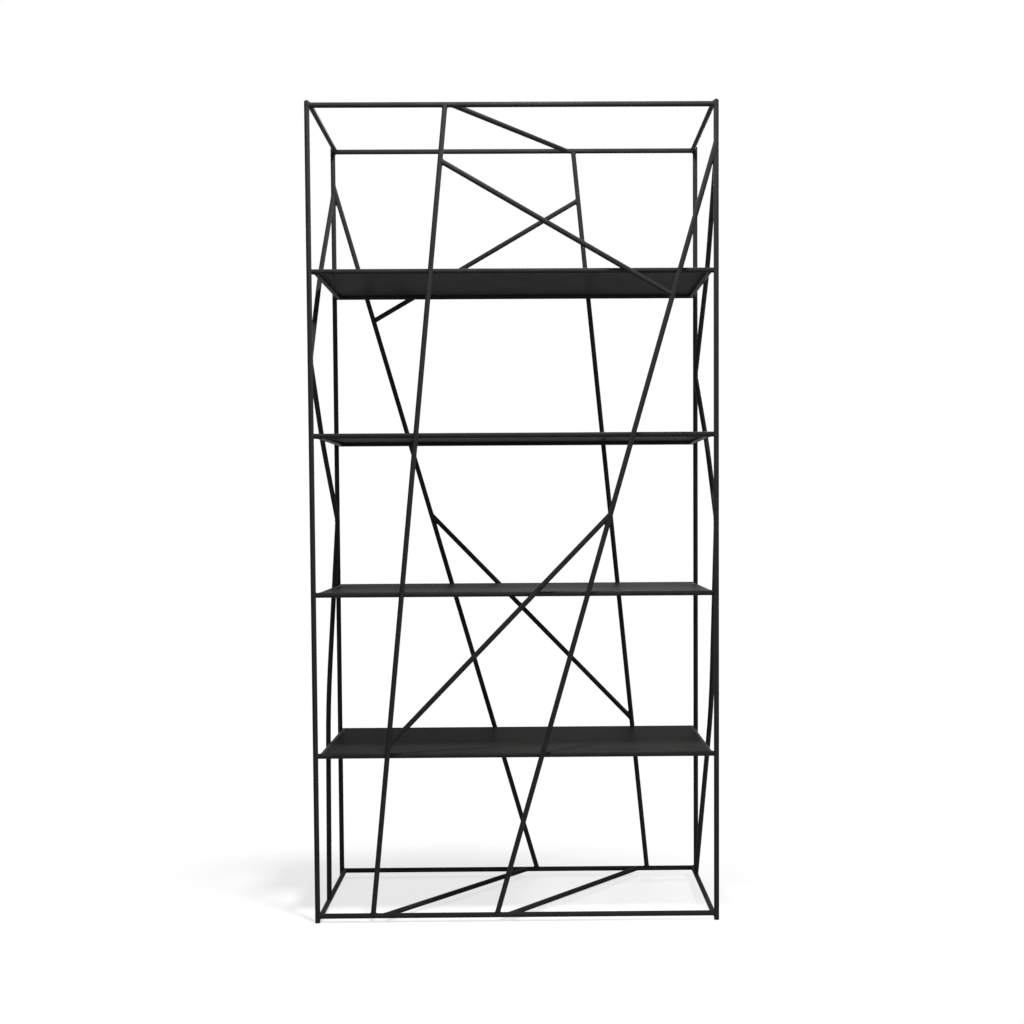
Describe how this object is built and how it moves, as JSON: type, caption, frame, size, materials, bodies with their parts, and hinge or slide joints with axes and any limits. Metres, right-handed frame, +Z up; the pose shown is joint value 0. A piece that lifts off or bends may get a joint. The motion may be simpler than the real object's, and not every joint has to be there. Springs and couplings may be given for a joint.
{
  "type": "bookshelf",
  "caption": "Tall open bookshelf of welded black round steel bar, with thin sheet shelves in a box frame and slanted zigzag rods across its faces.",
  "frame": {"origin": "on the floor, under the middle of the frame", "axes": "+X to the right seen from the front, the front faces -Y, +Z up"},
  "size_m": [1.0185, 0.38, 2.005],
  "materials": {
    "coated_bar": "satin black powder coat on welded round bar",
    "coated_sheet": "fine-textured black powder coat on sheet steel"
  },
  "bodies": {
    "root": {"front_left_post": "coated_bar", "front_right_post": "coated_bar", "back_left_post": "coated_bar", "back_right_post": "coated_bar", "top_front_rail": "coated_bar", "top_back_rail": "coated_bar", "top_left_rail": "coated_bar", "top_right_rail": "coated_bar", "bottom_front_rail": "coated_bar", "bottom_back_rail": "coated_bar", "bottom_left_rail": "coated_bar", "bottom_right_rail": "coated_bar", "top_diagonal": "coated_bar", "bottom_diagonal_left": "coated_bar", "bottom_diagonal_right": "coated_bar", "front_tall_rod": "coated_bar", "front_slant_rod": "coated_bar", "front_upper_brace": "coated_bar", "front_lower_brace": "coated_bar", "back_tall_rod": "coated_bar", "back_slant_rod": "coated_bar", "back_upper_brace": "coated_bar", "back_lower_brace": "coated_bar", "left_side_upper_rod": "coated_bar", "left_side_middle_rod": "coated_bar", "left_side_lower_rod": "coated_bar", "right_side_upper_rod": "coated_bar", "right_side_middle_rod": "coated_bar", "right_side_lower_rod": "coated_bar", "shelf_1_front_bar": "coated_bar", "shelf_1_back_bar": "coated_bar", "shelf_1_left_bar": "coated_bar", "shelf_1_right_bar": "coated_bar", "shelf_2_front_bar": "coated_bar", "shelf_2_back_bar": "coated_bar", "shelf_2_left_bar": "coated_bar", "shelf_2_right_bar": "coated_bar", "shelf_3_front_bar": "coated_bar", "shelf_3_back_bar": "coated_bar", "shelf_3_left_bar": "coated_bar", "shelf_3_right_bar": "coated_bar", "shelf_4_front_bar": "coated_bar", "shelf_4_back_bar": "coated_bar", "shelf_4_left_bar": "coated_bar", "shelf_4_right_bar": "coated_bar", "shelf_1_panel": "coated_sheet", "shelf_2_panel": "coated_sheet", "shelf_3_panel": "coated_sheet", "shelf_4_panel": "coated_sheet"}
  },
  "joints": []
}
